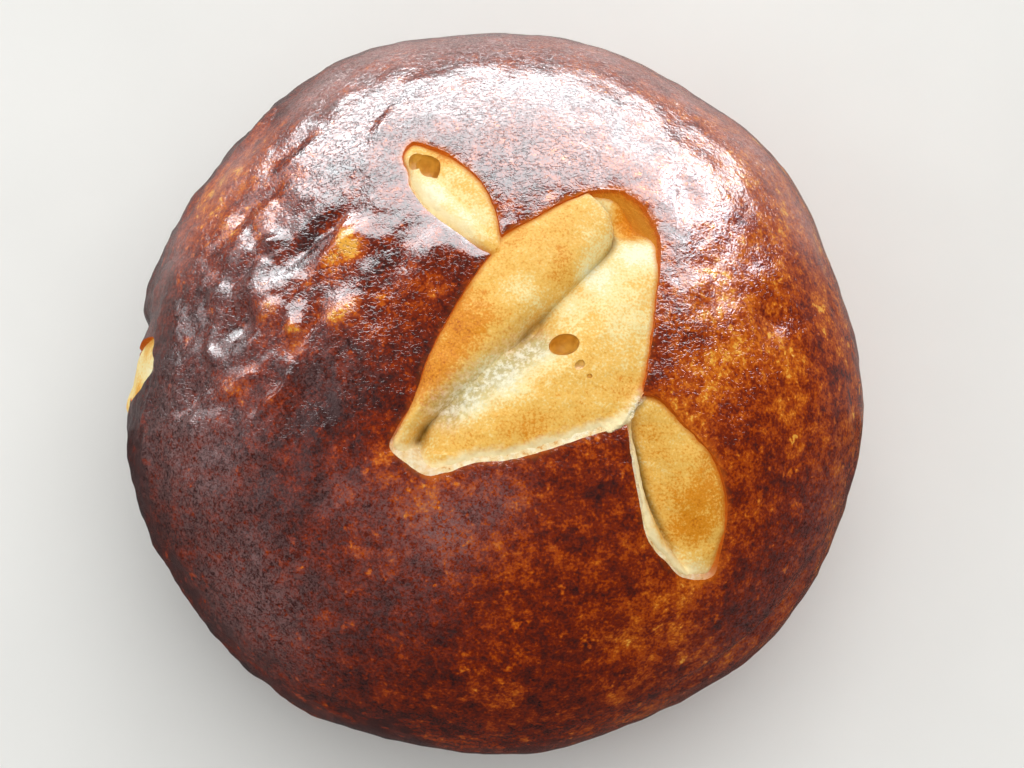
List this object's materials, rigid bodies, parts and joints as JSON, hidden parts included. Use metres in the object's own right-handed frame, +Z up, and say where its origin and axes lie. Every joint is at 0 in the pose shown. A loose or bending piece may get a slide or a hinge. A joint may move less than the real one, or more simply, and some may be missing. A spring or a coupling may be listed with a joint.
{
  "type": "pretzel bun",
  "caption": "Round pretzel bun with a dark glossy lye crust, scored crosswise on top and burst open over pale golden crumb.",
  "frame": {"origin": "centre of the bounding box in plan, on the flat underside that the bun rests on", "axes": "+Z up through the crown; +X towards the side with the lower right opening, which is the longest extent; +Y towards the picture's top"},
  "size_m": [0.0994, 0.0986, 0.0601],
  "materials": {
    "glazed_crust": "baked bread crust, glossy dark red-brown, with matt pale golden crumb in the openings"
  },
  "bodies": {
    "root": {"pretzel_bun": "glazed_crust"}
  },
  "joints": []
}
